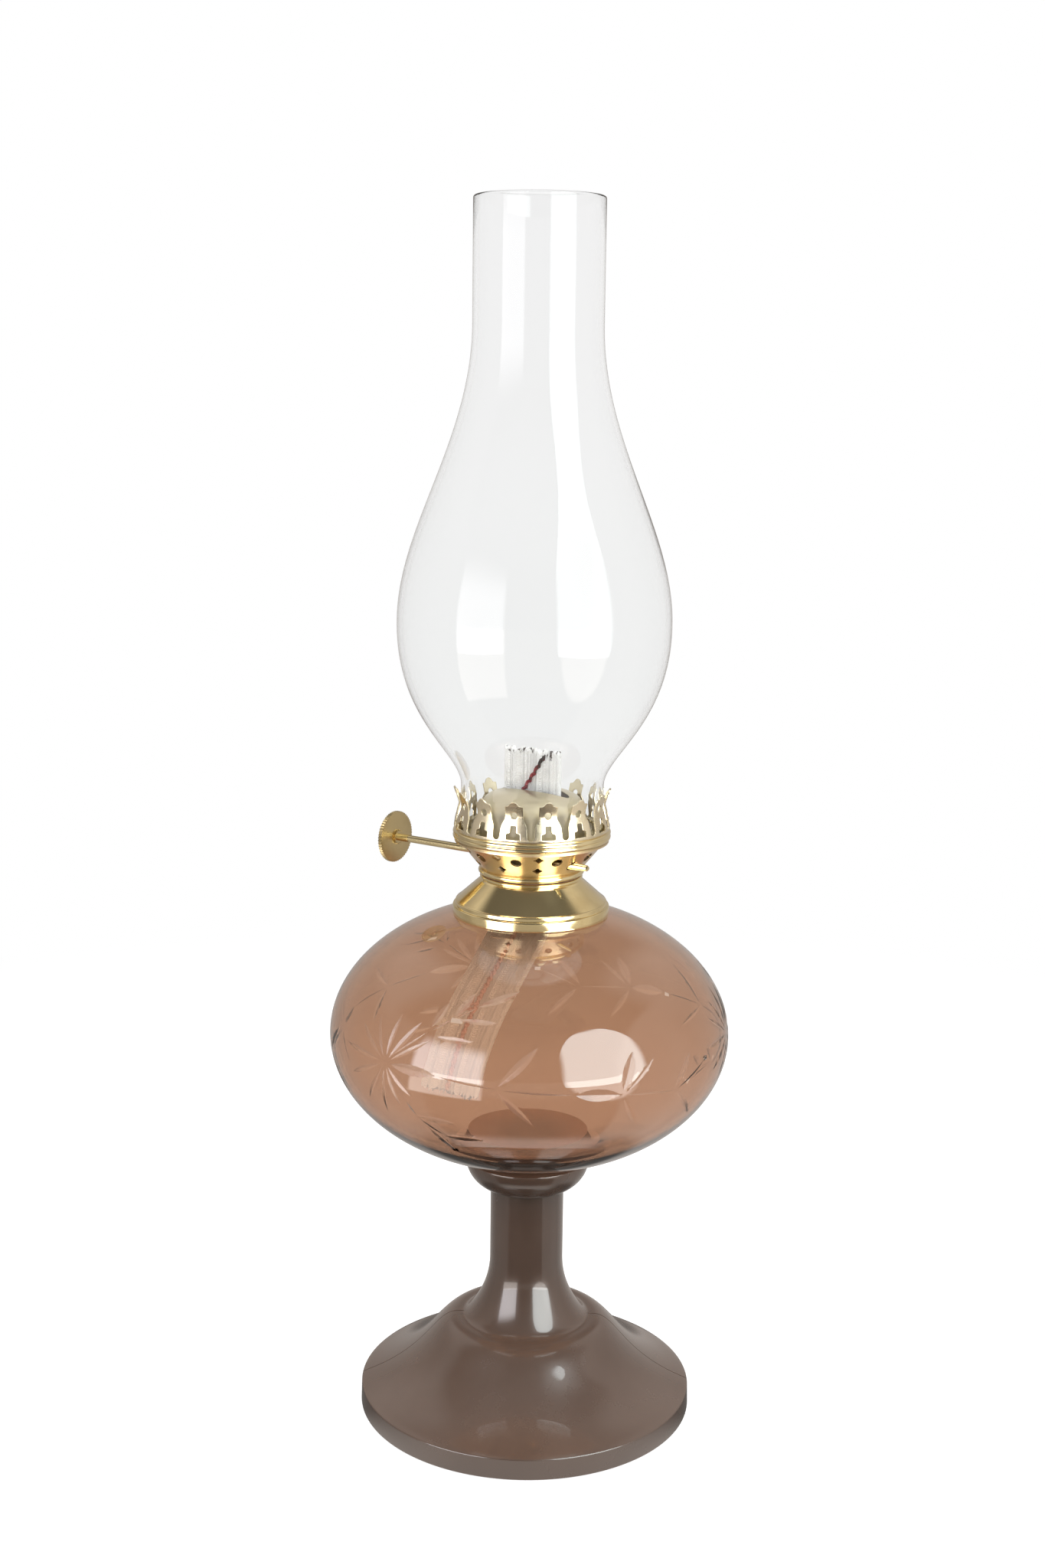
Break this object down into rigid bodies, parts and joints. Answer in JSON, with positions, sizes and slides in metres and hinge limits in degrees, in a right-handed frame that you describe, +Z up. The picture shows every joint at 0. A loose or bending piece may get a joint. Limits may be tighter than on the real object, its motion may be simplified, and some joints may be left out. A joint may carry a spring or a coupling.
{
  "type": "kerosene lamp",
  "caption": "Table kerosene lamp: moulded pedestal foot, oblate glass oil font with cut leaf sprigs, brass flat-wick burner with a pronged gallery, knob raiser and a bulged glass chimney.",
  "frame": {"origin": "on the floor, under the middle of the foot", "axes": "+Z up along the lamp's axis; +X away from the raiser knob along its shaft; +Y across the flat wick"},
  "size_m": [0.1522, 0.1522, 0.4601],
  "materials": {
    "moulding": "glossy taupe moulding with fine mould lines",
    "font_glass": "brown-rose tinted glass with polished cuts",
    "chimney_glass": "clear blown glass",
    "brass": "bright rolled sheet brass",
    "burner_inner": "plain sheet brass",
    "steel_wheels": "plain stamped wheels",
    "plaster": "set plaster",
    "gasket": "pressed washer",
    "cotton": "woven flat cotton with a red marker thread"
  },
  "bodies": {
    "lamp": {"pedestal": "moulding", "font_cement": "plaster", "font": "font_glass", "collar_cement": "plaster", "collar": "brass"},
    "seal": {"burner_gasket": "gasket"},
    "burner": {"burner_screw": "brass", "burner_floor": "burner_inner", "wick_tube": "burner_inner", "vent_tube": "burner_inner", "wheel_case": "burner_inner", "air_basket": "brass", "air_sieve": "burner_inner", "gallery": "brass", "flame_dome": "brass"},
    "raiser": {"raiser_shaft": "brass", "spur_wheels": "steel_wheels", "knob": "brass"},
    "wick": {"wick": "cotton"},
    "chimney": {"chimney": "chimney_glass"}
  },
  "joints": [
    {"name": "seal_lift", "type": "slide", "parent": "lamp", "child": "seal", "axis": [0, 0, 1], "range_m": [0, 0.005]},
    {"name": "burner_unscrew", "type": "hinge", "parent": "seal", "child": "burner", "pos_m": [0, 0, 0.21], "axis": [0, 0, 1], "range_deg": [0, 720]},
    {"name": "knob_turn", "type": "hinge", "parent": "burner", "child": "raiser", "pos_m": [0, -0.006, 0.22072], "axis": [1, 0, 0], "range_deg": [-226, 66]},
    {"name": "wick_slide", "type": "slide", "parent": "burner", "child": "wick", "axis": [0, 0, 1], "range_m": [-0.0171, 0.005]},
    {"name": "chimney_lift", "type": "slide", "parent": "burner", "child": "chimney", "axis": [0, 0, 1], "range_m": [0, 0.06]}
  ],
  "couplings": [
    {"joint": "seal_lift", "follows": "burner_unscrew", "m_per_rad": 0.00039789},
    {"joint": "wick_slide", "follows": "knob_turn", "m_per_rad": 0.0043}
  ]
}
